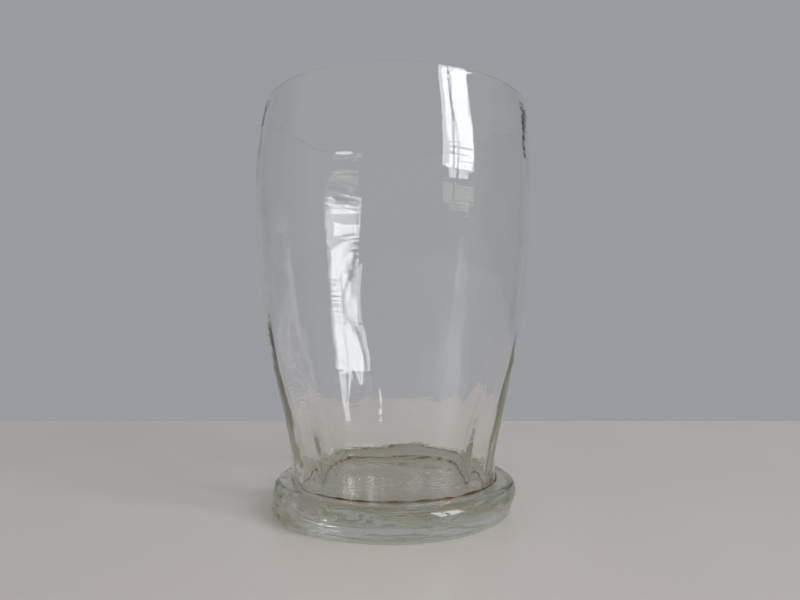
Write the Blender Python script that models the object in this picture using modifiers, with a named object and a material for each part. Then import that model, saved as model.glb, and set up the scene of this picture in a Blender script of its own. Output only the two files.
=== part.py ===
"""Blown drinking beaker: a thin barrel-shaped bowl on a thick applied disc foot.

The base of the bowl is sunk into a recess in the top of the foot.
Metres, +Z up. The origin is the centre of the foot's underside, so the beaker
stands on Z = 0 and its axis is the Z axis.
"""
import math

import bmesh
import bpy
from mathutils import Vector

MM = 0.001

# Overall sizes
HEIGHT = 110.0 * MM
RIM_RADIUS = 38.0 * MM
BELLY_RADIUS = 39.0 * MM
BELLY_Z = 88.0 * MM
WAIST_RADIUS = 28.3 * MM

# Foot: a thick disc with a rolled edge, a recess on top and a hollow underside
FOOT_RADIUS = 34.0 * MM
FOOT_THICKNESS = 8.3 * MM
FOOT_SHOULDER = 4.4 * MM
FOOT_LOWER_EDGE = 1.6 * MM
FOOT_RING_INNER = 25.0 * MM
FOOT_HOLLOW_DEPTH = 0.8 * MM
RECESS_FLOOR_Z = 3.4 * MM

# Bowl: a seat on the foot, a base sunk into its recess, and a wall thinning to the rim
JOINT_GAP = 0.3 * MM
SEAT_Z = FOOT_THICKNESS + JOINT_GAP
SUNK_RADIUS = 27.4 * MM
SUNK_BASE_Z = RECESS_FLOOR_Z + JOINT_GAP
FLOOR_THICKNESS = 2.4 * MM
FLOOR_CORNER = 1.5 * MM
FLOOR_TOP_Z = SUNK_BASE_Z + FLOOR_THICKNESS
CORNER_TOP_Z = FLOOR_TOP_Z + FLOOR_CORNER
WALL_AT_RIM = 1.0 * MM
WALL_GAIN_AT_BASE = 2.0 * MM
WALL_FADE_HEIGHT = 22.0 * MM

# Optic panels: shallow vertical flutes on the inner face of the wall
PANEL_COUNT = 12
PANEL_DEPTH = 0.22 * MM
PANEL_FADE_HEIGHT = 4.0 * MM

TURN_STEPS = 60
WALL_POINTS = 15
CORNER_POINTS = 5
SHOULDER_POINTS = 8
MERGE_DISTANCE = 0.00001
SHARP_ANGLE = math.radians(40.0)

# Outer wall of the bowl from the rim down to the joint, as (radius, height)
OUTER_WALL = (
    (RIM_RADIUS, HEIGHT - WALL_AT_RIM / 2.0),
    (BELLY_RADIUS - 0.25 * MM, 101.0 * MM),
    (BELLY_RADIUS, BELLY_Z),
    (38.0 * MM, 68.0 * MM),
    (35.3 * MM, 47.5 * MM),
    (31.6 * MM, 30.0 * MM),
    (28.9 * MM, 17.0 * MM),
    (WAIST_RADIUS, SEAT_Z),
)


def clear_scene():
    for item in list(bpy.data.objects):
        bpy.data.objects.remove(item, do_unlink=True)


def make_collection(name):
    collection = bpy.data.collections.new(name)
    bpy.context.scene.collection.children.link(collection)
    return collection


def glass(name, colour, roughness, alpha):
    """A Principled material for clear soda glass with a tint."""
    material = bpy.data.materials.new(name)
    material.use_nodes = True
    shader = material.node_tree.nodes["Principled BSDF"]
    shader.inputs["Base Color"].default_value = (*colour, 1.0)
    shader.inputs["Roughness"].default_value = roughness
    shader.inputs["Metallic"].default_value = 0.0
    shader.inputs["IOR"].default_value = 1.52
    shader.inputs["Transmission Weight"].default_value = 1.0
    shader.inputs["Alpha"].default_value = alpha
    return material


def catmull_rom(points, position):
    """Point on a smooth curve through the points; position runs from 0 to 1."""
    scaled = position * (len(points) - 1)
    index = min(int(scaled), len(points) - 2)
    t = scaled - index
    start = Vector(points[index])
    end = Vector(points[index + 1])
    before = Vector(points[index - 1]) if index > 0 else start * 2.0 - end
    after = Vector(points[index + 2]) if index + 2 < len(points) else end * 2.0 - start
    leaving = (end - before) / 2.0
    arriving = (after - start) / 2.0
    return (
        start * (2 * t**3 - 3 * t**2 + 1)
        + leaving * (t**3 - 2 * t**2 + t)
        + end * (3 * t**2 - 2 * t**3)
        + arriving * (t**3 - t**2)
    )


def arc(centre, radius, start_degrees, end_degrees, count):
    """Points on an arc in the (radius, height) plane, both ends included."""
    points = []
    for step in range(count):
        angle = math.radians(start_degrees + (end_degrees - start_degrees) * step / (count - 1))
        points.append((centre[0] + radius * math.cos(angle), centre[1] + radius * math.sin(angle)))
    return points


def outer_wall(count):
    """Outer wall points from the rim down to the joint."""
    return [tuple(catmull_rom(OUTER_WALL, step / (count - 1))) for step in range(count)]


def outer_radius(height):
    """Radius of the outer wall at a height, between its nearest two points."""
    wall = outer_wall(WALL_POINTS)
    for upper, lower in zip(wall, wall[1:]):
        if lower[1] <= height <= upper[1]:
            share = (height - lower[1]) / (upper[1] - lower[1])
            return lower[0] + (upper[0] - lower[0]) * share
    return wall[0][0] if height > wall[0][1] else wall[-1][0]


def wall_thickness(height):
    rise = (height - SEAT_Z) / WALL_FADE_HEIGHT
    return WALL_AT_RIM + WALL_GAIN_AT_BASE * math.exp(-rise * rise)


def inner_wall():
    """Rounded floor corner, then the inner wall up to the rim."""
    wall = []
    for step in range(WALL_POINTS):
        height = CORNER_TOP_Z + (OUTER_WALL[0][1] - CORNER_TOP_Z) * step / (WALL_POINTS - 1)
        wall.append((outer_radius(height) - wall_thickness(height), height))
    corner_centre = (wall[0][0] - FLOOR_CORNER, CORNER_TOP_Z)
    corner = arc(corner_centre, FLOOR_CORNER, -90.0, 0.0, CORNER_POINTS)
    return corner[:-1] + wall


def turned(name, profile, collection, material):
    """Turn a (radius, height) profile once around the Z axis."""
    mesh = bpy.data.meshes.new(name)
    vertices = [(radius, 0.0, height) for radius, height in profile]
    edges = [(index, index + 1) for index in range(len(vertices) - 1)]
    mesh.from_pydata(vertices, edges, [])
    turned_object = bpy.data.objects.new(name, mesh)
    collection.objects.link(turned_object)
    screw = turned_object.modifiers.new("turn", "SCREW")
    screw.axis = "Z"
    screw.angle = math.tau
    screw.steps = TURN_STEPS
    screw.render_steps = TURN_STEPS
    screw.use_merge_vertices = True
    screw.merge_threshold = MERGE_DISTANCE
    apply_modifiers(turned_object)
    turned_object.data.materials.append(material)
    turned_object.data.shade_smooth()
    turned_object.data.set_sharp_from_angle(angle=SHARP_ANGLE)
    return turned_object


def apply_modifiers(item):
    """Replace the object's mesh with its evaluated mesh."""
    bpy.context.view_layer.update()
    evaluated = item.evaluated_get(bpy.context.evaluated_depsgraph_get())
    mesh = bpy.data.meshes.new_from_object(evaluated)
    item.modifiers.clear()
    item.data = mesh


def panel_strength(point):
    """How deep a panel is at a point: 0 off the inner wall, 1 in its middle."""
    radius = math.hypot(point.x, point.y)
    if radius > outer_radius(point.z) - WALL_AT_RIM / 2.0:
        return 0.0
    above_corner = (point.z - CORNER_TOP_Z) / PANEL_FADE_HEIGHT
    below_rim = (HEIGHT - WALL_AT_RIM - point.z) / PANEL_FADE_HEIGHT
    return max(0.0, min(1.0, above_corner, below_rim))


def press_panels(bowl):
    """Press the vertical optic panels into the inner wall."""
    mesh = bmesh.new()
    mesh.from_mesh(bowl.data)
    for vertex in mesh.verts:
        angle = math.atan2(vertex.co.y, vertex.co.x)
        push = PANEL_DEPTH * panel_strength(vertex.co) * math.cos(PANEL_COUNT * angle)
        vertex.co += Vector((math.cos(angle), math.sin(angle), 0.0)) * push
    mesh.to_mesh(bowl.data)
    mesh.free()


def make_bowl(collection):
    """Thin cup: inner floor and wall, rounded rim, outer wall, seat, sunk base."""
    rim_thickness = WALL_AT_RIM / 2.0
    rim_centre = (RIM_RADIUS - rim_thickness, HEIGHT - rim_thickness)
    rim = arc(rim_centre, rim_thickness, 180.0, 0.0, CORNER_POINTS)
    inner = inner_wall()
    floor = [(0.0, FLOOR_TOP_Z), (inner[0][0] / 2.0, FLOOR_TOP_Z)]
    seat = [(SUNK_RADIUS, SEAT_Z), (SUNK_RADIUS, SUNK_BASE_Z)]
    base = [(SUNK_RADIUS / 2.0, SUNK_BASE_Z), (0.0, SUNK_BASE_Z)]
    profile = floor + inner[:-1] + rim[:-1] + outer_wall(WALL_POINTS) + seat + base
    material = glass("bowl_glass", (0.95, 0.97, 0.95), 0.02, 0.35)
    bowl = turned("bowl", profile, collection, material)
    press_panels(bowl)
    return bowl


def make_foot(collection):
    """Thick disc: recess, rolled edge, flat standing ring and hollow underside."""
    shoulder_centre = (FOOT_RADIUS - FOOT_SHOULDER, FOOT_THICKNESS - FOOT_SHOULDER)
    edge_centre = (FOOT_RADIUS - FOOT_LOWER_EDGE, FOOT_LOWER_EDGE)
    shoulder = arc(shoulder_centre, FOOT_SHOULDER, 90.0, 0.0, SHOULDER_POINTS)
    lower_edge = arc(edge_centre, FOOT_LOWER_EDGE, 0.0, -90.0, CORNER_POINTS)
    hollow = []
    for step in range(CORNER_POINTS):
        share = 1.0 - step / (CORNER_POINTS - 1)
        hollow.append((FOOT_RING_INNER * share, FOOT_HOLLOW_DEPTH * (1.0 - share**2)))
    recess_radius = SUNK_RADIUS + JOINT_GAP
    recess = [(0.0, RECESS_FLOOR_Z), (recess_radius / 2.0, RECESS_FLOOR_Z)]
    recess += [(recess_radius, RECESS_FLOOR_Z), (recess_radius, FOOT_THICKNESS)]
    profile = recess + shoulder + lower_edge + hollow
    material = glass("foot_glass", (0.80, 0.86, 0.80), 0.04, 0.45)
    return turned("foot", profile, collection, material)


def main():
    clear_scene()
    parts = make_collection("drinking_beaker")
    make_foot(parts)
    make_bowl(parts)


main()
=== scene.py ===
# %% [markdown]
# # A blown drinking beaker
#
# An old hand-made tumbler has two gathers of glass. The first is blown into a ribbed
# mould and then freely, so the ribs stay inside the wall as soft vertical panels. The
# second is pressed flat underneath as a thick, slightly uneven foot. This lesson turns
# both on the Z axis, then disturbs them a little, because clear glass has no colour of
# its own to look at: all that the eye sees is how its surfaces bend the room.

# %% Load the fixed frame
import math

import bmesh
import bpy
import numpy as np
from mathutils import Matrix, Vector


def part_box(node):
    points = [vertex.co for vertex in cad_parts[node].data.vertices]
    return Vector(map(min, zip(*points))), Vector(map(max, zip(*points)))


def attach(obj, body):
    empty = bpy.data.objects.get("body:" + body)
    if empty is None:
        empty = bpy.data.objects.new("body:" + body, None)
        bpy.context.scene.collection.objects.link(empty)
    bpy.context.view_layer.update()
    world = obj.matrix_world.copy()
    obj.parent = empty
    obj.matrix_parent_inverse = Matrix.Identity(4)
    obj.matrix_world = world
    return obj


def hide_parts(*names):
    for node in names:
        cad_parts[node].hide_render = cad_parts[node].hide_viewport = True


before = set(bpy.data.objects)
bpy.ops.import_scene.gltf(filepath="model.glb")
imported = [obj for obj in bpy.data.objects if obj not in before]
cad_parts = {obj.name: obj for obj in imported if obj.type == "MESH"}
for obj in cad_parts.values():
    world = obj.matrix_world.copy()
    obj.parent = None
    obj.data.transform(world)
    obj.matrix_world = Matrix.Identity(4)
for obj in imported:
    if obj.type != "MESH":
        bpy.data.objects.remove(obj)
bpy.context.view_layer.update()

# %% [markdown]
# ## Sizes
#
# Every size starts from the frame, so the fine pieces lie where the plain solids lie.
# The base of the bowl is sunk into a recess in the foot, and the frame leaves a hair's
# gap between them. On the real beaker they are fused, so both fine pieces are grown to
# the middle of that gap and meet there.

# %% Sizes from the frame
MM = 0.001
bowl_low, bowl_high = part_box("bowl")
foot_low, foot_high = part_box("foot")
height = bowl_high.z
belly_radius = bowl_high.x
foot_radius = foot_high.x
JOINT_GAP = 0.3 * MM
joint_height = foot_high.z + JOINT_GAP / 2
joint_radius = 28.3 * MM
SUNK_DEPTH = 4.9 * MM  # how deep the base of the bowl lies in the foot
SUNK_RADIUS = 27.4 * MM
sunk_height = joint_height - SUNK_DEPTH
sunk_radius = SUNK_RADIUS + JOINT_GAP / 2
skin = 0.12 * MM  # what the uneven surfaces may stand out by, kept free all round
print(f"height {height / MM:.1f} mm, belly radius {belly_radius / MM:.1f} mm")
print(f"the glasses meet {joint_height / MM:.2f} mm up, {joint_radius / MM:.1f} mm from the axis")

# %% [markdown]
# ## The camera
#
# The viewer's eye is close to the glass and a little below its rim. Seen from so near,
# the near half of the rim arches up and the far half sags below it. A wide lens and a
# short distance give that strong perspective.

# %% Place the camera
EYE = (1.8 * MM, -168.5 * MM, 48.97 * MM)
EYE_PITCH = math.radians(2.85)
LENS_MM = 26.55

camera_data = bpy.data.cameras.new("eye")
camera_data.lens = LENS_MM
camera_data.clip_start = 0.01
camera = bpy.data.objects.new("eye", camera_data)
camera.location = EYE
camera.rotation_euler = (math.pi / 2 + EYE_PITCH, 0, 0)
bpy.context.scene.collection.objects.link(camera)
bpy.context.scene.camera = camera
print("camera", [round(v / MM, 1) for v in EYE], "mm")

# %% [markdown]
# ## Turning a profile
#
# A glass is round, so half of its section is enough: a chain of points from the middle
# of the floor, up the inside, over the rim, down the outside and back to the middle.
# The chain is drawn by extruding one vertex again and again, and the Spin tool carries
# it once round the axis. The many points on the axis are merged, and the normals are
# recalculated, because Spin can leave the skin inside out.

# %% Tools for turned pieces
COLUMNS = 240
MERGE = 0.001 * MM


def start_clean():
    """Leave edit mode with nothing selected."""
    if bpy.context.object and bpy.context.object.mode != "OBJECT":
        bpy.ops.object.mode_set(mode="OBJECT")
    bpy.ops.object.select_all(action="DESELECT")


def draw_chain(name, points):
    """A chain of vertices in the XZ plane, drawn by extruding a single vertex."""
    start_clean()
    first = (points[0][0], 0, points[0][1])
    bpy.ops.mesh.primitive_plane_add(size=MM, location=first)
    piece = bpy.context.object
    piece.name = name
    piece.data.name = name
    bpy.ops.object.transform_apply(location=True, rotation=True, scale=True)
    bpy.ops.object.mode_set(mode="EDIT")
    bpy.ops.mesh.merge(type="CENTER")
    for here, there in zip(points, points[1:]):
        step = (there[0] - here[0], 0, there[1] - here[1])
        bpy.ops.mesh.extrude_region_move(TRANSFORM_OT_translate={"value": step})
    return piece


def turn(name, points):
    """Spin a chain once round the Z axis into a closed body."""
    piece = draw_chain(name, points)
    bpy.ops.mesh.select_all(action="SELECT")
    bpy.ops.mesh.spin(steps=COLUMNS, angle=math.tau, center=(0, 0, 0), axis=(0, 0, 1))
    bpy.ops.mesh.select_all(action="SELECT")
    bpy.ops.mesh.remove_doubles(threshold=MERGE)
    bpy.ops.mesh.normals_make_consistent(inside=False)
    bpy.ops.object.mode_set(mode="OBJECT")
    bpy.ops.object.shade_smooth()
    return piece


def enclosed(piece):
    """Volume inside a closed mesh, positive when its faces point out, and its open edges."""
    check = bmesh.new()
    check.from_mesh(piece.data)
    volume = check.calc_volume(signed=True)
    open_edges = sum(1 for edge in check.edges if not edge.is_manifold)
    check.free()
    return volume, open_edges


# %% Tools for outlines
def curve_through(points, count):
    """Even steps along a smooth curve through (radius, height) points."""
    keys = np.array(points, float)
    ends = (2 * keys[0] - keys[1], 2 * keys[-1] - keys[-2])
    keys = np.vstack([ends[0], keys, ends[1]])
    made = []
    for step in range(count):
        along = step / (count - 1) * (len(points) - 1)
        index = min(int(along), len(points) - 2)
        t = along - index
        before, start, end, after = keys[index:index + 4]
        made.append(0.5 * (
            2 * start
            + (end - before) * t
            + (2 * before - 5 * start + 4 * end - after) * t**2
            + (3 * start - before - 3 * end + after) * t**3
        ))
    return [tuple(point) for point in made]


def arc(centre, radius, start, end, count):
    """Points on an arc, angles in degrees from the outward direction."""
    angles = np.radians(np.linspace(start, end, count))
    return [(centre[0] + radius * math.cos(a), centre[1] + radius * math.sin(a)) for a in angles]


def straight(start, end, count):
    """Evenly spaced points on a line, both ends included."""
    return [tuple(point) for point in np.linspace(start, end, count)]


# %% [markdown]
# ## The outline of the bowl
#
# The outside narrows from a full belly to a waist just above the foot, and the rim is
# drawn in a little. The wall is thick where the glass gathered at the bottom and thins
# upwards, so the inside is the outside less a thickness that fades with height. The rim
# was melted round in the fire.

# %% Outline of the bowl
WALL_AT_RIM = 1.0 * MM
WALL_GAIN_AT_WAIST = 2.0 * MM
WALL_FADE = 22 * MM
FLOOR_THICKNESS = 2.55 * MM
FLOOR_CORNER = 1.5 * MM
WALL_ROWS = 112
floor_top = sunk_height + FLOOR_THICKNESS
corner_top = floor_top + FLOOR_CORNER

OUTSIDE = [
    (joint_radius, joint_height),
    (28.25 * MM, 12.0 * MM),
    (28.9 * MM, 17.5 * MM),
    (31.6 * MM, 30.0 * MM),
    (35.3 * MM, 47.5 * MM),
    (38.0 * MM - skin, 68.0 * MM),
    (belly_radius - skin, 88.0 * MM),
    (belly_radius - 0.25 * MM - skin, 101.0 * MM),
    (belly_radius - 1.0 * MM - skin, height - WALL_AT_RIM / 2),
]

outside = curve_through(OUTSIDE, WALL_ROWS)
outside_heights = [point[1] for point in outside]
outside_radii = [point[0] for point in outside]


def outer_radius(z):
    return np.interp(z, outside_heights, outside_radii)


def wall_thickness(z):
    return WALL_AT_RIM + WALL_GAIN_AT_WAIST * np.exp(-((z - joint_height) / WALL_FADE) ** 2)


def bowl_outline():
    """Floor, corner, inner wall, rim, outer wall and base, in one chain."""
    rim_round = WALL_AT_RIM / 2
    inner_heights = np.linspace(corner_top, height - rim_round, WALL_ROWS)
    inner = [(float(outer_radius(z) - wall_thickness(z)), float(z)) for z in inner_heights]
    corner_middle = (inner[0][0] - FLOOR_CORNER, corner_top)
    corner = arc(corner_middle, FLOOR_CORNER, -90, 0, 12)
    floor = straight((0, floor_top), corner[0], 26)
    rim_middle = (outside[-1][0] - rim_round, height - rim_round)
    rim = arc(rim_middle, rim_round, 180, 0, 12)
    seat = [(sunk_radius, joint_height), (sunk_radius, sunk_height)]
    base = straight(seat[-1], (0, sunk_height), 12)
    return floor[:-1] + corner[:-1] + inner[:-1] + rim[:-1] + outside[::-1] + seat + base[1:]


bowl = turn("blown_bowl", bowl_outline())
print("bowl volume ml and open edges:", enclosed(bowl)[0] * 1e6, enclosed(bowl)[1])

# %% [markdown]
# ## Disturbing the surface
#
# Hot glass is never quite round. A field of slow waves, the sum of a few sine waves in
# random directions with a fixed seed, moves each vertex in or out by a tenth of a
# millimetre. That is far too little to see in the outline, but a reflection doubles
# every slope, so it is what makes a window's reflection waver.

# %% Slow waves for hand-made surfaces
WAVE_COUNT = 14


def read_points(piece):
    points = np.zeros(len(piece.data.vertices) * 3)
    piece.data.vertices.foreach_get("co", points)
    return points.reshape(-1, 3)


def write_points(piece, points):
    piece.data.vertices.foreach_set("co", points.astype(np.float32).ravel())
    piece.data.update()


def slow_waves(points, wavelengths, seed):
    """Smooth values of about -1 to 1, with one wavelength for each direction."""
    draw = np.random.default_rng(seed)
    total = np.zeros(len(points))
    for _ in range(WAVE_COUNT):
        direction = draw.normal(size=3)
        direction /= np.linalg.norm(direction)
        turns = direction / np.array(wavelengths) * draw.uniform(0.6, 1.5)
        total += np.sin(math.tau * (points @ turns + draw.uniform()))
    return total / math.sqrt(WAVE_COUNT)


def waves(points, size, lengths, seed):
    """Slow waves of about this size."""
    return size * slow_waves(points, lengths, seed)


def fade(values, start, end):
    """0 before start, 1 after end, smooth in between."""
    t = np.clip((values - start) / (end - start), 0, 1)
    return t * t * (3 - 2 * t)


def polar(points):
    """Radius, and angle from the front (towards the camera), positive to its right."""
    radius = np.hypot(points[:, 0], points[:, 1])
    return radius, np.arctan2(points[:, 0], -points[:, 1])


def push_outward(points, amount):
    radius = np.maximum(np.hypot(points[:, 0], points[:, 1]), MERGE)
    moved = points.copy()
    moved[:, 0] += points[:, 0] / radius * amount
    moved[:, 1] += points[:, 1] / radius * amount
    return moved


# %% [markdown]
# ## The optic panels
#
# The ribbed mould leaves twelve shallow flutes with soft ridges between them. Blowing
# moves the ribs to the inside of the wall, where they are deepest near the waist and
# fade to the rim. A ridge is where two hollows meet, so the depth follows the size of a
# cosine, rounded where it would come to a point.
#
# Slow waves go on top, with finer crinkles low on the left. A narrow furrow runs down
# the back wall near the rim, to narrow the reflection of a window there; it does so
# only slightly. The rim itself is pulled in on the left.

# %% Press the panels and the hand-made unevenness into the bowl
PANELS = 12
PANEL_DEPTH_HIGH = 0.20 * MM
PANEL_DEPTH_LOW = 0.65 * MM
RIDGE_SOFTNESS = 0.12
PANEL_TWIST = math.radians(4)
RIM_PULL = 1.35 * MM
RIM_PULL_FROM = 92 * MM
FURROW_RADIUS = 38 * MM
FURROW_PLACE = 15.8 * MM  # left of the middle
FURROW_WIDTH = 3.2 * MM
FURROW_DEPTH = 0.16 * MM

# Kinds of unevenness: size, wavelength in x, y and z, and seed.
INNER_RIPPLE = 0.03 * MM, (22 * MM, 22 * MM, 6 * MM), 5
INNER_WOBBLE = 0.09 * MM, (17 * MM, 17 * MM, 26 * MM), 11
LOW_CRINKLE = 0.06 * MM, (5 * MM, 5 * MM, 3.2 * MM), 13
OUTER_WOBBLE = 0.05 * MM, (30 * MM, 30 * MM, 22 * MM), 3
OUTER_RIPPLE = 0.011 * MM, (22 * MM, 22 * MM, 6 * MM), 5


def panel_shape(angle, z):
    """1 in the middle of a flute, about 0 on a ridge."""
    turned_by = angle + PANEL_TWIST * (z / height - 0.5)
    return np.sqrt(np.cos(PANELS / 2 * turned_by) ** 2 + RIDGE_SOFTNESS**2) - 0.6


def panel_depth(z):
    """Deep near the waist, shallow towards the rim."""
    lowness = 1 - fade(z, 15 * MM, 65 * MM)
    return PANEL_DEPTH_HIGH + (PANEL_DEPTH_LOW - PANEL_DEPTH_HIGH) * lowness


def furrow(angle, z):
    """A narrow upright furrow in the back wall, left of the middle, near the rim."""
    across = (np.sin(angle) * FURROW_RADIUS + FURROW_PLACE) / FURROW_WIDTH
    behind = fade(-np.cos(angle), 0, 0.3) * fade(z, 66 * MM, 75 * MM)
    return FURROW_DEPTH * np.exp(-across * across) * behind


def bowl_push(points, angle):
    """How far the inner wall of the bowl is pushed out at each point."""
    z = points[:, 2]
    wall = fade(np.hypot(points[:, 0], points[:, 1]), 20 * MM, 24 * MM)
    wall = wall * fade(-z, -height, -height + 5 * MM)
    flutes = panel_shape(angle, z) * panel_depth(z)
    ripple = waves(points, *INNER_RIPPLE)
    wobble = waves(points, *INNER_WOBBLE)
    low_left = fade(-np.sin(angle), 0.55, 0.9) * (1 - fade(z, 16 * MM, 36 * MM))
    crinkle = waves(points, *LOW_CRINKLE) * low_left
    return (flutes + wobble + ripple + crinkle + furrow(angle, z)) * wall


def press_bowl(piece):
    """Move the inner wall by its panels and waves, and the outer wall by its own."""
    points = read_points(piece)
    radius, angle = polar(points)
    z = points[:, 2]
    middle_of_wall = outer_radius(z) - wall_thickness(z) / 2
    inside = (radius < middle_of_wall) & (z > floor_top - 0.1 * MM)
    wobble = waves(points, *OUTER_WOBBLE)
    ripple = waves(points, *OUTER_RIPPLE) + furrow(angle, z)
    clear_of_joint = fade(z, joint_height, joint_height + 6 * MM)
    amount = np.where(inside, bowl_push(points, angle), (wobble + ripple) * clear_of_joint)
    left = np.clip(-np.sin(angle), 0, 1)
    pull = RIM_PULL * fade(z, RIM_PULL_FROM, height) * left**3
    write_points(piece, push_outward(points, amount - pull))


press_bowl(bowl)
print("bowl box after pressing:", [round(v / MM, 2) for v in read_points(bowl).max(axis=0)])

# %% [markdown]
# ## The foot
#
# The foot is a thick disc with a generous shoulder and a tighter lower edge. It rests on
# a flat ring, and its underside is hollow so that it can't rock. The maker's tools left
# it uneven: it is fuller to the left, where rolled ridges run along the lower edge and
# the side is broken into small facets, and rounder to the right.

# %% Outline of the foot
SHOULDER_DEPTH = 2.4 * MM
SHOULDER_HEIGHT = 3.8 * MM
LOWER_EDGE = 1.1 * MM
BASE_INSET = 1.3 * MM
RING_INNER = 25 * MM
HOLLOW = 0.8 * MM
FOOT_SKIN = 0.4 * MM


def foot_outline():
    """Recess, shoulder, side, lower edge, ring and hollow, in one chain."""
    edge = foot_radius - FOOT_SKIN
    top = straight((0, sunk_height), (sunk_radius, sunk_height), 12)
    top += [(sunk_radius, joint_height), (joint_radius, joint_height)]
    round_shoulder = arc((0, 0), 1, 90, 0, 26)
    shoulder = [
        (edge - SHOULDER_DEPTH * (1 - out), joint_height - SHOULDER_HEIGHT * (1 - up))
        for out, up in round_shoulder
    ]
    ledge = straight(top[-1], shoulder[0], 9)
    lower = arc((edge - BASE_INSET - LOWER_EDGE, LOWER_EDGE), LOWER_EDGE, 0, -90, 14)
    side = straight(shoulder[-1], lower[0], 16)
    ring = straight(lower[-1], (RING_INNER, 0), 10)
    shares = np.linspace(1, 0, 30)
    hollow = [(RING_INNER * share, HOLLOW * (1 - share**2) ** 2) for share in shares]
    return top[:-1] + ledge[:-1] + shoulder[:-1] + side[:-1] + lower[:-1] + ring[:-1] + hollow


foot = turn("disc_foot", foot_outline())
print("foot volume ml and open edges:", enclosed(foot)[0] * 1e6, enclosed(foot)[1])

# %% Make the foot uneven
RIDGE_PITCH = 1.15 * MM
RIDGE_HEIGHT = 0.10 * MM
FOOT_SHIFT = 0.35 * MM
SIDE_ROUNDING = 1.3 * MM
LEFT_FULLNESS = 1.6 * MM
HOLLOW_LIFT = 0.05 * MM

# Kinds of unevenness: size, wavelength in x, y and z, and seed.
SIDE_WOBBLE = 0.09 * MM, (34 * MM, 34 * MM, 12 * MM), 21
SIDE_DENTS = 0.035 * MM, (8 * MM, 8 * MM, 4 * MM), 23
LEFT_FACETS = 0.10 * MM, (5 * MM, 5 * MM, 2.4 * MM), 25
TOP_LUMPS = 0.035 * MM, (12 * MM, 12 * MM, 12 * MM), 27
HOLLOW_RIPPLES = 0.05 * MM, (30 * MM, 4 * MM, 30 * MM), 31


def press_foot(piece):
    """Move the foot's side out and in, its top down and its hollow up."""
    points = read_points(piece)
    radius, angle = polar(points)
    z = points[:, 2]
    outer = fade(radius, joint_radius, foot_radius - FOOT_SKIN)
    top_side = fade(z, 0.4 * MM, 2 * MM)
    left = np.clip(-np.sin(angle), 0, 1)
    right = np.clip(np.sin(angle), 0, 1)
    wobble = waves(points, *SIDE_WOBBLE)
    dents = waves(points, *SIDE_DENTS)
    facets = waves(points, *LEFT_FACETS) * fade(left, 0.1, 0.6)
    low_side = fade(-z, -5.5 * MM, -3.5 * MM) * fade(radius, 30 * MM, 32 * MM)
    ridges = RIDGE_HEIGHT * np.cos(math.tau * z / RIDGE_PITCH) * fade(left, 0.1, 0.5) * low_side
    low_rim = fade(-z, -4.5 * MM, 0) * fade(radius, RING_INNER, 30 * MM)
    full = LEFT_FULLNESS * fade(left, 0.35, 0.9) * low_rim
    moved = push_outward(points, (wobble + dents + facets) * outer + ridges + full)
    lifted = SIDE_ROUNDING * right * fade(radius, 30.5 * MM, foot_radius - FOOT_SKIN) ** 2
    moved[:, 2] += lifted * np.clip(1 - z / joint_height, 0, 1)
    moved[:, 0] += FOOT_SHIFT * outer
    lumps = np.abs(waves(points, *TOP_LUMPS))
    moved[:, 2] -= lumps * fade(radius, joint_radius, joint_radius + 2 * MM) * top_side
    in_hollow = fade(-radius, -RING_INNER, -RING_INNER + 6 * MM)
    under = fade(-z, -joint_height / 2, -joint_height / 3) * in_hollow
    moved[:, 2] += (HOLLOW_LIFT + waves(points, *HOLLOW_RIPPLES)) * under
    moved[:, 2] = np.maximum(moved[:, 2], 0)
    write_points(piece, moved)


press_foot(foot)
print("foot box after pressing:", [round(v / MM, 2) for v in read_points(foot).max(axis=0)])

# %% [markdown]
# ## Residue in the crease
#
# Dirt settles where the bowl meets the foot and can't be wiped out. It is a real thing
# with a thickness, so it is a thin ragged ring that lies in the crease, and the thick
# glass bends its image as it bends everything else. A second, thinner bead lies in the
# inner corner of the bowl and follows the panels.

# %% A ragged ring in the crease
RESIDUE_WIDTH = 0.42 * MM
RESIDUE_HEIGHT = 0.34 * MM
RESIDUE_GAP = 0.02 * MM


def residue_outline():
    """A small three-cornered section with a hollow outer face."""
    inner = joint_radius + RESIDUE_GAP
    low = joint_height + RESIDUE_GAP
    corner = (inner, low)
    top = (inner, low + RESIDUE_HEIGHT)
    belly = (inner + RESIDUE_WIDTH * 0.35, low + RESIDUE_HEIGHT * 0.32)
    toe = (inner + RESIDUE_WIDTH, low)
    return [corner, top, belly, toe, corner]


def corner_outline():
    """A thin bead that lies in the inner corner of the bowl."""
    middle = (outer_radius(corner_top) - wall_thickness(corner_top) - FLOOR_CORNER, corner_top)
    out = arc(middle, FLOOR_CORNER - 0.01 * MM, -84, -58, 5)
    back = arc(middle, FLOOR_CORNER - 0.11 * MM, -63, -79, 4)
    return out + back + out[:1]


residue = turn("crease_residue", residue_outline())
corner_line = turn("corner_residue", corner_outline())


RESIDUE_PATCHES = 0.4, (7 * MM, 7 * MM, 50 * MM), 41


def wear_residue(piece):
    """Make the ring thick here and thin there, and thinnest on the left."""
    points = read_points(piece)
    radius, angle = polar(points)
    inner = joint_radius + RESIDUE_GAP
    low = joint_height + RESIDUE_GAP
    size = 0.85 + waves(points, *RESIDUE_PATCHES)
    size *= 1 - 0.75 * fade(-np.sin(angle), 0.45, 0.75)
    size = np.clip(size, 0.12, 1.4)
    scaled = inner + (radius - inner) * size
    moved = points.copy()
    moved[:, 0] = points[:, 0] / radius * scaled
    moved[:, 1] = points[:, 1] / radius * scaled
    moved[:, 2] = low + (points[:, 2] - low) * size
    write_points(piece, moved)


def follow_corner(piece):
    """Press the bead as the panels press the wall behind it."""
    points = read_points(piece)
    radius, angle = polar(points)
    write_points(piece, push_outward(points, bowl_push(points, angle)))


wear_residue(residue)
follow_corner(corner_line)
print("residue volume and open edges:", enclosed(residue), enclosed(corner_line))

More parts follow.
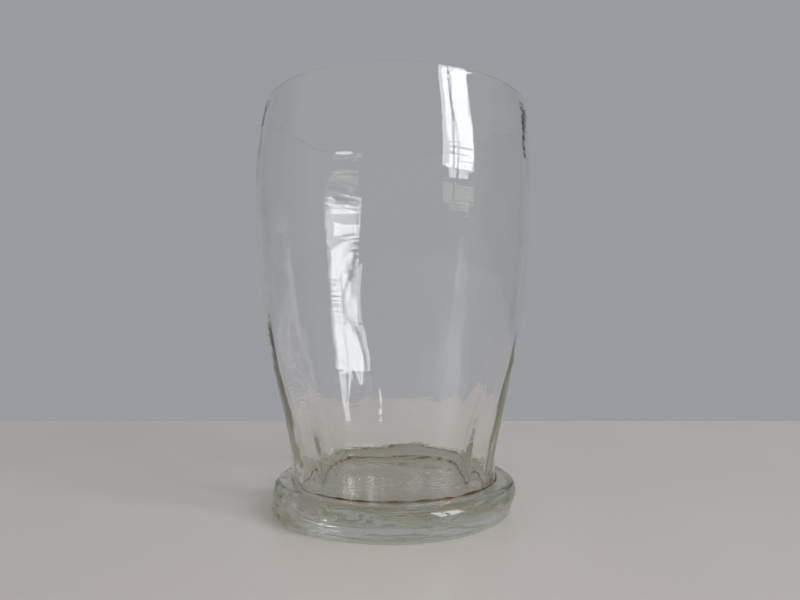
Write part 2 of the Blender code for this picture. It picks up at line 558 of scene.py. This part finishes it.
# %% [markdown]
# ## Shader maths
#
# Formulas in a node tree are hard to read. This small class wraps a socket, so that a
# formula is written as one and each operator adds its Math node.

# %% Sockets that can be added and multiplied
class Wire:
    """A socket that ordinary arithmetic works on."""

    def __init__(self, finish, socket):
        self.finish = finish
        self.socket = socket

    def math(self, operation, *values):
        return self.finish.node("ShaderNodeMath", {"operation": operation}, dict(enumerate(values)))

    def __add__(self, other):
        return self.math("ADD", self, other)

    def __sub__(self, other):
        return self.math("SUBTRACT", self, other)

    def __rsub__(self, other):
        return self.math("SUBTRACT", other, self)

    def __mul__(self, other):
        return self.math("MULTIPLY", self, other)

    def __pow__(self, other):
        return self.math("POWER", self, other)

    __radd__ = __add__
    __rmul__ = __mul__


class Finish:
    """A material in the making."""

    def __init__(self, name):
        self.material = bpy.data.materials.new(name)
        self.material.use_nodes = True
        self.tree = self.material.node_tree
        self.tree.nodes.clear()

    def node(self, kind, settings=None, sockets=None, output=0):
        """Add a node: its settings first, then values or links for its sockets."""
        made = self.tree.nodes.new(kind)
        for name, value in (settings or {}).items():
            if name == "stops":
                set_stops(made.color_ramp, value)
            else:
                setattr(made, name, value)
        for name, value in (sockets or {}).items():
            if isinstance(value, Wire):
                self.tree.links.new(value.socket, made.inputs[name])
            else:
                made.inputs[name].default_value = value
        return Wire(self, made.outputs[output]) if made.outputs else made

    def places(self, stretch):
        """Object coordinates in metres, stretched for a pattern."""
        where = self.node("ShaderNodeTexCoord", output="Object")
        return self.node("ShaderNodeMapping", sockets={"Vector": where, "Scale": stretch})

    def noise(self, stretch, detail):
        """Cloudy noise on Object coordinates; a larger stretch gives a finer pattern."""
        sockets = {"Vector": self.places(stretch), "Scale": 1.0, "Detail": detail}
        return self.node("ShaderNodeTexNoise", sockets=sockets)

    def bump(self, size, distance):
        sockets = {"Height": size, "Distance": distance, "Strength": 1.0}
        return self.node("ShaderNodeBump", sockets=sockets)

    def finish(self, surface, volume=None):
        sockets = {"Surface": surface}
        if volume:
            sockets["Volume"] = volume
        self.node("ShaderNodeOutputMaterial", sockets=sockets)
        return self.material


def set_stops(ramp, stops):
    """Give a colour ramp its stops, each a position and a colour."""
    while len(ramp.elements) < len(stops):
        ramp.elements.new(0.5)
    for element, (position, colour) in zip(ramp.elements, stops):
        element.position = position
        element.color = colour


# %% [markdown]
# ## Clear glass
#
# Soda glass bends light by 1.52. The tint is not on the surface but inside, so it is an
# absorption in the volume: the thin wall stays clear and the thick foot turns grey-green.
# The finest ripples, about a millimetre apart and lying flat round the wall, are a bump.

# %% Glass for the bowl and the foot
GLASS_IOR = 1.52
BOWL_TINT = (0.865, 0.88, 0.76, 1)
BOWL_TINT_DENSITY = 20.0
FOOT_TINT = (0.89, 0.90, 0.85, 1)
FOOT_TINT_DENSITY = 14.0


def glass_shader(finish, normal):
    settings = {"distribution": "MULTI_GGX"}
    sockets = {
        "Base Color": (1, 1, 1, 1),
        "Roughness": 0.0,
        "IOR": GLASS_IOR,
        "Transmission Weight": 1.0,
        "Normal": normal,
    }
    return finish.node("ShaderNodeBsdfPrincipled", settings, sockets)


def tint(finish, colour, density):
    sockets = {"Color": colour, "Density": density}
    return finish.node("ShaderNodeVolumeAbsorption", sockets=sockets)


def make_bowl_glass():
    finish = Finish("clear_blown_glass")
    ripples = finish.noise((60, 60, 800), 1.0)
    patches = finish.noise((60, 60, 45), 1.0)
    cords = finish.noise((900, 900, 60), 1.0)
    normal = finish.bump(ripples * (patches ** 2 * 3.0) + cords * 0.3, 0.03 * MM)
    surface = glass_shader(finish, normal)
    return finish.finish(surface, tint(finish, BOWL_TINT, BOWL_TINT_DENSITY))


def make_foot_glass():
    finish = Finish("pressed_foot_glass")
    chill = finish.noise((420, 420, 700), 3.0)
    swirl = finish.noise((140, 140, 240), 1.0)
    normal = finish.bump(chill * 0.35 + swirl, 0.05 * MM)
    surface = glass_shader(finish, normal)
    return finish.finish(surface, tint(finish, FOOT_TINT, FOOT_TINT_DENSITY))


bowl_glass = make_bowl_glass()
foot_glass = make_foot_glass()
print("made", bowl_glass.name, "and", foot_glass.name)

# %% [markdown]
# ## The fused joint
#
# Where two gathers of hot glass are pressed together there is no surface left: light
# goes straight on. Two separate meshes need one, though, so the faces that touch get a
# second material that passes every ray unbent. It keeps the tint of its own piece.

# %% Material for the touching faces
def make_joint(name, colour, density):
    finish = Finish(name)
    clear = finish.node("ShaderNodeBsdfTransparent", sockets={"Color": (1, 1, 1, 1)})
    return finish.finish(clear, tint(finish, colour, density))


TOUCH = 0.02 * MM


def touches(face):
    """Is this face on the seat, on the side of the sunk base or under it?"""
    radius = math.hypot(face.center.x, face.center.y)
    z = face.center.z
    on_seat = abs(z - joint_height) < TOUCH and sunk_radius - TOUCH < radius < joint_radius
    on_side = sunk_height < z < joint_height and abs(radius - sunk_radius) < TOUCH
    below = abs(z - sunk_height) < TOUCH and radius < sunk_radius
    return on_seat or on_side or below


def dress(piece, skin_material, joint_material):
    """Give a piece its glass, and its touching faces the joint material."""
    piece.data.materials.append(skin_material)
    piece.data.materials.append(joint_material)
    touching = [face for face in piece.data.polygons if touches(face)]
    for face in touching:
        face.material_index = 1
    print(piece.name, "has", len(touching), "touching faces")


dress(bowl, bowl_glass, make_joint("fused_bowl_side", BOWL_TINT, BOWL_TINT_DENSITY))
dress(foot, foot_glass, make_joint("fused_foot_side", FOOT_TINT, FOOT_TINT_DENSITY))

# %% [markdown]
# ## Brown residue
#
# Dried drink is translucent amber where it is thin and nearly black-brown where it has
# collected. One noise field drives the colour and another lets the glass show through.

# %% Material for the residue
def make_residue(name, bare, cover):
    """Dried residue that lets the glass show through between two noise levels."""
    finish = Finish(name)
    patches = finish.noise((500, 500, 500), 3.0)
    stops = [
        (0.32, (0.055, 0.022, 0.008, 1)),
        (0.52, (0.19, 0.085, 0.030, 1)),
        (0.72, (0.42, 0.27, 0.13, 1)),
    ]
    colour = finish.node("ShaderNodeValToRGB", {"stops": stops}, {"Fac": patches})
    grain = finish.noise((3000, 3000, 3000), 2.0)
    sockets = {
        "Base Color": colour,
        "Roughness": 0.55,
        "Normal": finish.bump(grain, 0.03 * MM),
    }
    solid = finish.node("ShaderNodeBsdfPrincipled", sockets=sockets)
    clear = finish.node("ShaderNodeBsdfTransparent")
    gaps = finish.noise((260, 260, 260), 2.0)
    stops = [(0.40, (bare, bare, bare, 1)), (0.56, (cover, cover, cover, 1))]
    share = finish.node("ShaderNodeValToRGB", {"stops": stops}, {"Fac": gaps})
    mixed = finish.node("ShaderNodeMixShader", sockets={0: share, 1: clear, 2: solid})
    return finish.finish(mixed)


residue.data.materials.append(make_residue("crease_residue", 1.0, 0.55))
corner_line.data.materials.append(make_residue("corner_residue", 0.9, 0.6))

# %% [markdown]
# ## The pieces ride on the frame
#
# The beaker doesn't move, so all of it rides on the one body. The fine bowl and foot
# stand for the plain solids.

# %% Ride and replace
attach(bowl, "root")
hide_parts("bowl")
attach(foot, "root")
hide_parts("foot")
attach(residue, "root")
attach(corner_line, "root")

# %% [markdown]
# ## A table to stand on
#
# Glass shows what is around it, so the setting is part of the look: a plain pale table
# whose far edge runs behind the glass, and beyond it a plain cool grey that is the world
# itself. A world colour needs no wall, so nothing stands in the way of the other views.

# %% The table
TABLE_EDGE = 150 * MM
TABLE_REACH = 1.6
TABLE_THICKNESS = 20 * MM
TABLE_ROUGHNESS = 0.24
TABLE_GAP = 0.02 * MM  # the table's top lies this far under the foot
TABLE_DARK = (0.830, 0.775, 0.778, 1)
TABLE_LIGHT = (0.893, 0.836, 0.836, 1)


def make_table_paint():
    finish = Finish("pale_table_paint")
    cloud = finish.noise((9, 5, 5), 3.0)
    stops = [(0.3, TABLE_DARK), (0.7, TABLE_LIGHT)]
    colour = finish.node("ShaderNodeValToRGB", {"stops": stops}, {"Fac": cloud})
    sockets = {"Base Color": colour, "Roughness": TABLE_ROUGHNESS}
    return finish.finish(finish.node("ShaderNodeBsdfPrincipled", sockets=sockets))


start_clean()
table_middle = (0, TABLE_EDGE - TABLE_REACH / 2, -TABLE_THICKNESS / 2 - TABLE_GAP)
bpy.ops.mesh.primitive_cube_add(size=1, location=table_middle)
table = bpy.context.object
table.name = "table"
table.scale = (TABLE_REACH * 2, TABLE_REACH, TABLE_THICKNESS)
bpy.ops.object.transform_apply(location=True, rotation=True, scale=True)
table.data.materials.append(make_table_paint())

# %% The world behind the table
WORLD_BACK = (0.322, 0.330, 0.355, 1)
WORLD_RING = (0.22, 0.22, 0.21, 1)
WORLD_FRONT = (0.41, 0.40, 0.35, 1)

world = bpy.data.worlds.new("grey_room")
bpy.context.scene.world = world
world.use_nodes = True
world.node_tree.nodes.clear()


class WorldFinish(Finish):
    """The same way of adding nodes, for the world's own tree."""

    def __init__(self, world):
        self.tree = world.node_tree


room = WorldFinish(world)
direction = room.node("ShaderNodeTexCoord", output="Generated")
parts = room.node("ShaderNodeSeparateXYZ", sockets={"Vector": direction}, output="Y")
stops = [(0.45, WORLD_FRONT), (0.60, WORLD_RING), (0.76, WORLD_RING), (0.87, WORLD_BACK)]
# The Y of a direction runs from -1 in front to 1 behind, and a ramp runs from 0 to 1.
shade = room.node("ShaderNodeValToRGB", {"stops": stops}, {"Fac": parts * 0.5 + 0.5})
glow = room.node("ShaderNodeBackground", sockets={"Color": shade, "Strength": 1.0})
room.node("ShaderNodeOutputWorld", sockets={"Surface": glow})

# %% [markdown]
# ## Two soft windows
#
# A window in two panes stands to the right behind the camera, above the height of the
# glass. The convex near wall shows it small and upright under the rim, and the hollow
# back wall shows it again, taller, like a shaving mirror. Below each pane of sky is a low,
# dim, greenish strip, as of a garden behind a dark hedge, so that the reflections break
# up at one end instead of being cut off.

# %% Lights
WINDOW_DISTANCE = 1.2
POWER_OF_BRIGHTNESS = 4  # watts for each square metre of pane and unit of brightness
LEFT_PANE = (38, 45.4)  # edges in degrees, round from the front to the right
RIGHT_PANE = (47.6, 64)
SKY_HEIGHTS = (16.6, 42)  # edges in degrees, up from the table
GARDEN_HEIGHTS = (10.8, 13.2)
SKY_BRIGHTNESS = 5.8
GARDEN_BRIGHTNESS = 1.2
SKY = (0.96, 0.98, 1.0)
GARDEN = (0.86, 1.0, 0.80)


def window_pane(name, edges, heights, brightness, colour):
    """A soft rectangle given by its edges as angles: round from the front, and up."""
    left, right = [math.radians(edge) for edge in edges]
    middle = math.radians(sum(edges) / 2)
    width = WINDOW_DISTANCE * (math.tan(right - middle) - math.tan(left - middle))
    bottom, top = [WINDOW_DISTANCE * math.tan(math.radians(edge)) for edge in heights]
    data = bpy.data.lights.new(name, "AREA")
    data.shape = "RECTANGLE"
    data.size = width
    data.size_y = top - bottom
    data.energy = brightness * POWER_OF_BRIGHTNESS * data.size * data.size_y
    data.color = colour
    pane = bpy.data.objects.new(name, data)
    sideways = WINDOW_DISTANCE * math.sin(middle)
    forward = WINDOW_DISTANCE * math.cos(middle)
    pane.location = (sideways, -forward, (top + bottom) / 2)
    pane.rotation_euler = (math.pi / 2, 0, middle)
    pane.visible_camera = False
    bpy.context.scene.collection.objects.link(pane)
    print(name, "is", round(width, 2), "by", round(top - bottom, 2), "m")
    return pane


window_pane("sky_left_pane", LEFT_PANE, SKY_HEIGHTS, SKY_BRIGHTNESS, SKY)
window_pane("sky_right_pane", RIGHT_PANE, SKY_HEIGHTS, SKY_BRIGHTNESS, SKY)
window_pane("garden_left_pane", LEFT_PANE, GARDEN_HEIGHTS, GARDEN_BRIGHTNESS, GARDEN)
window_pane("garden_right_pane", RIGHT_PANE, GARDEN_HEIGHTS, GARDEN_BRIGHTNESS, GARDEN)

bpy.context.scene.view_settings.view_transform = "Standard"

# %% [markdown]
# ## Let the light out
#
# Light that enters the edge of a wall or the foot is caught there by total reflection and
# may bounce dozens of times before it leaves. Cycles gives up after twelve bounces and
# draws black, so that clear glass gets sooty edges. A higher limit lets the light out.
# Filter Glossy is off as well, because it takes light from what lies under clear glass.

# %% More bounces for glass
BOUNCES = 64

paths = bpy.context.scene.cycles
paths.max_bounces = BOUNCES
paths.transmission_bounces = BOUNCES
paths.glossy_bounces = BOUNCES
paths.transparent_max_bounces = BOUNCES
paths.blur_glossy = 0.0
